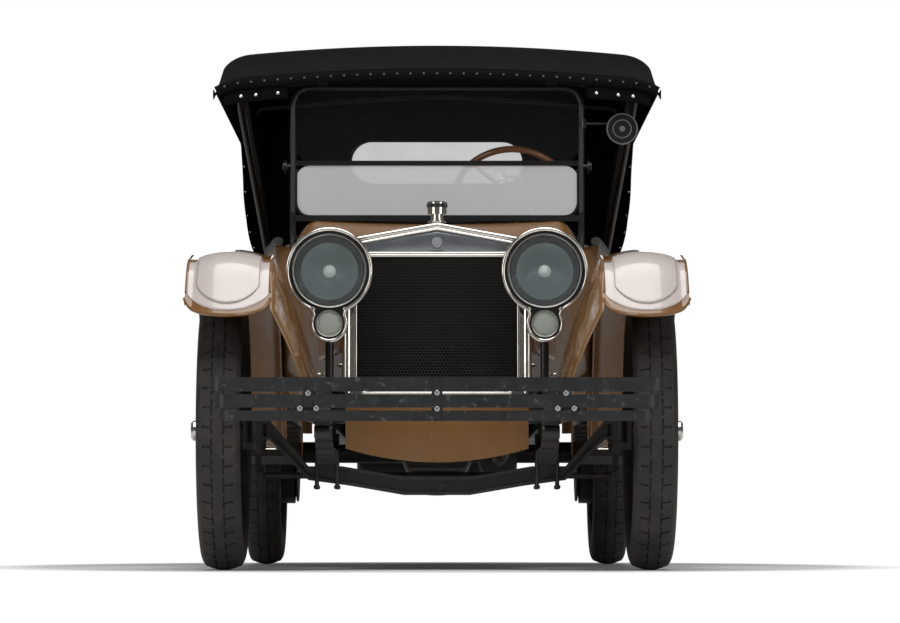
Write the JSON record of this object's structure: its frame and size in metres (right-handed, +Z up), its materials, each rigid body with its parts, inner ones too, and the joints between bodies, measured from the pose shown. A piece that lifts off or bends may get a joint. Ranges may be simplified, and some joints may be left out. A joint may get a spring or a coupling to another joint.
{
  "type": "touring car",
  "caption": "Open touring car of the 1910s with raised folding top, wooden wheels, twin headlamps and hinged doors and bonnet.",
  "frame": {"origin": "bottom centre of the car's box, on the ground", "axes": "+X to the car's left, +Y to the tail, +Z up"},
  "size_m": [1.644, 5.2542, 1.9997],
  "materials": {
    "frame_black": "gloss",
    "axle_black": "satin",
    "spring_black": "satin",
    "engine_iron": "matt",
    "exhaust_iron": "matt",
    "nickel": "polished",
    "core_black": "matt",
    "bumper_steel": "satin",
    "lamp_black": "gloss",
    "lens_glass": "clear",
    "body_brown": "gloss",
    "board_rubber": "ribbed",
    "floor_wood": "matt",
    "dash_wood": "varnished",
    "seat_leather": "buttoned",
    "column_nickel": "satin",
    "screen_black": "gloss",
    "screen_glass": "clear",
    "top_cloth": "woven",
    "bow_wood": "varnished",
    "tyre": "rubber",
    "wheel_rim_wood": "varnished",
    "wheel_wood": "varnished"
  },
  "bodies": {
    "chassis": {"chassis_frame": "frame_black", "front_axle": "axle_black", "leaf_springs": "spring_black", "rear_axle": "axle_black", "engine_block": "engine_iron", "exhaust": "exhaust_iron", "fuel_tank": "frame_black", "radiator_shell": "nickel", "radiator_core": "core_black", "front_bumper": "bumper_steel", "headlamps": "lamp_black", "headlamp_lenses": "lens_glass", "front_wings": "body_brown", "rear_wings": "body_brown", "running_boards": "board_rubber", "splash_aprons": "body_brown", "scuttle": "body_brown", "body_tub": "body_brown", "floor_boards": "floor_wood", "dashboard": "dash_wood", "front_seat": "seat_leather", "rear_seat": "seat_leather", "steering_column": "column_nickel", "levers_pedals": "column_nickel", "windscreen_frame": "screen_black", "windscreen_glass": "screen_glass", "side_mirror": "screen_black", "top_canopy": "top_cloth", "top_bows": "bow_wood", "spare_tyre": "tyre", "spare_carrier": "frame_black", "tail_lamp": "lamp_black"},
    "knuckle_left": {"knuckle_left": "axle_black"},
    "knuckle_right": {"knuckle_right": "axle_black"},
    "tie_rod": {"tie_rod": "axle_black"},
    "steering_wheel": {"steering_wheel": "wheel_rim_wood"},
    "wheel_front_left": {"wheel_front_left": "wheel_wood", "tyre_front_left": "tyre"},
    "wheel_front_right": {"wheel_front_right": "wheel_wood", "tyre_front_right": "tyre"},
    "wheel_rear_left": {"wheel_rear_left": "wheel_wood", "tyre_rear_left": "tyre"},
    "wheel_rear_right": {"wheel_rear_right": "wheel_wood", "tyre_rear_right": "tyre"},
    "door_front_left": {"door_front_left": "body_brown"},
    "door_rear_left": {"door_rear_left": "body_brown"},
    "bonnet_top_left": {"bonnet_top_left": "body_brown"},
    "bonnet_side_left": {"bonnet_side_left": "body_brown"},
    "door_front_right": {"door_front_right": "body_brown"},
    "door_rear_right": {"door_rear_right": "body_brown"},
    "bonnet_top_right": {"bonnet_top_right": "body_brown"},
    "bonnet_side_right": {"bonnet_side_right": "body_brown"}
  },
  "joints": [
    {"name": "steer_left", "type": "hinge", "parent": "chassis", "child": "knuckle_left", "pos_m": [0.6, -1.837, 0.465], "axis": [0, 0, 1], "range_deg": [-27, 27]},
    {"name": "steer_right", "type": "hinge", "parent": "chassis", "child": "knuckle_right", "pos_m": [-0.6, -1.837, 0.465], "axis": [0, 0, 1], "range_deg": [-27, 27]},
    {"name": "tie_rod_pivot", "type": "hinge", "parent": "knuckle_left", "child": "tie_rod", "pos_m": [0.6, -1.667, 0.318], "axis": [0, 0, 1], "range_deg": [-27, 27]},
    {"name": "steering_wheel_turn", "type": "hinge", "parent": "chassis", "child": "steering_wheel", "pos_m": [0.285, 0.063, 1.408], "axis": [0, 0.788, 0.6157], "range_deg": [-330, 330]},
    {"name": "roll_front_left", "type": "hinge", "parent": "knuckle_left", "child": "wheel_front_left", "pos_m": [0.711, -1.837, 0.465], "axis": [1, 0, 0], "continuous": true},
    {"name": "roll_front_right", "type": "hinge", "parent": "knuckle_right", "child": "wheel_front_right", "pos_m": [-0.711, -1.837, 0.465], "axis": [1, 0, 0], "continuous": true},
    {"name": "roll_rear_left", "type": "hinge", "parent": "chassis", "child": "wheel_rear_left", "pos_m": [0.711, 1.617, 0.465], "axis": [1, 0, 0], "continuous": true},
    {"name": "roll_rear_right", "type": "hinge", "parent": "chassis", "child": "wheel_rear_right", "pos_m": [-0.711, 1.617, 0.465], "axis": [1, 0, 0], "continuous": true},
    {"name": "front_door_left", "type": "hinge", "parent": "chassis", "child": "door_front_left", "pos_m": [0.609, -0.334, 0.69], "axis": [0, 0, -1], "range_deg": [0, 70]},
    {"name": "rear_door_left", "type": "hinge", "parent": "chassis", "child": "door_rear_left", "pos_m": [0.657, 0.99, 0.69], "axis": [0, 0, 1], "range_deg": [0, 70]},
    {"name": "bonnet_lift_left", "type": "hinge", "parent": "chassis", "child": "bonnet_top_left", "pos_m": [0, -1.297, 1.15], "axis": [0, -1, 0], "range_deg": [0, 70]},
    {"name": "bonnet_fold_left", "type": "hinge", "parent": "bonnet_top_left", "child": "bonnet_side_left", "pos_m": [0.25, -1.297, 1.1025], "axis": [0, 1, 0], "range_deg": [0, 70]},
    {"name": "front_door_right", "type": "hinge", "parent": "chassis", "child": "door_front_right", "pos_m": [-0.609, -0.334, 0.69], "axis": [0, 0, 1], "range_deg": [0, 70]},
    {"name": "rear_door_right", "type": "hinge", "parent": "chassis", "child": "door_rear_right", "pos_m": [-0.657, 0.99, 0.69], "axis": [0, 0, -1], "range_deg": [0, 70]},
    {"name": "bonnet_lift_right", "type": "hinge", "parent": "chassis", "child": "bonnet_top_right", "pos_m": [0, -1.297, 1.15], "axis": [0, 1, 0], "range_deg": [0, 70]},
    {"name": "bonnet_fold_right", "type": "hinge", "parent": "bonnet_top_right", "child": "bonnet_side_right", "pos_m": [-0.25, -1.297, 1.1025], "axis": [0, -1, 0], "range_deg": [0, 70]}
  ],
  "couplings": [
    {"joint": "steer_right", "follows": "steer_left", "ratio": 1},
    {"joint": "tie_rod_pivot", "follows": "steer_left", "ratio": -1},
    {"joint": "steering_wheel_turn", "follows": "steer_left", "ratio": 12},
    {"joint": "bonnet_fold_left", "follows": "bonnet_lift_left", "ratio": 1},
    {"joint": "bonnet_fold_right", "follows": "bonnet_lift_right", "ratio": 1}
  ]
}
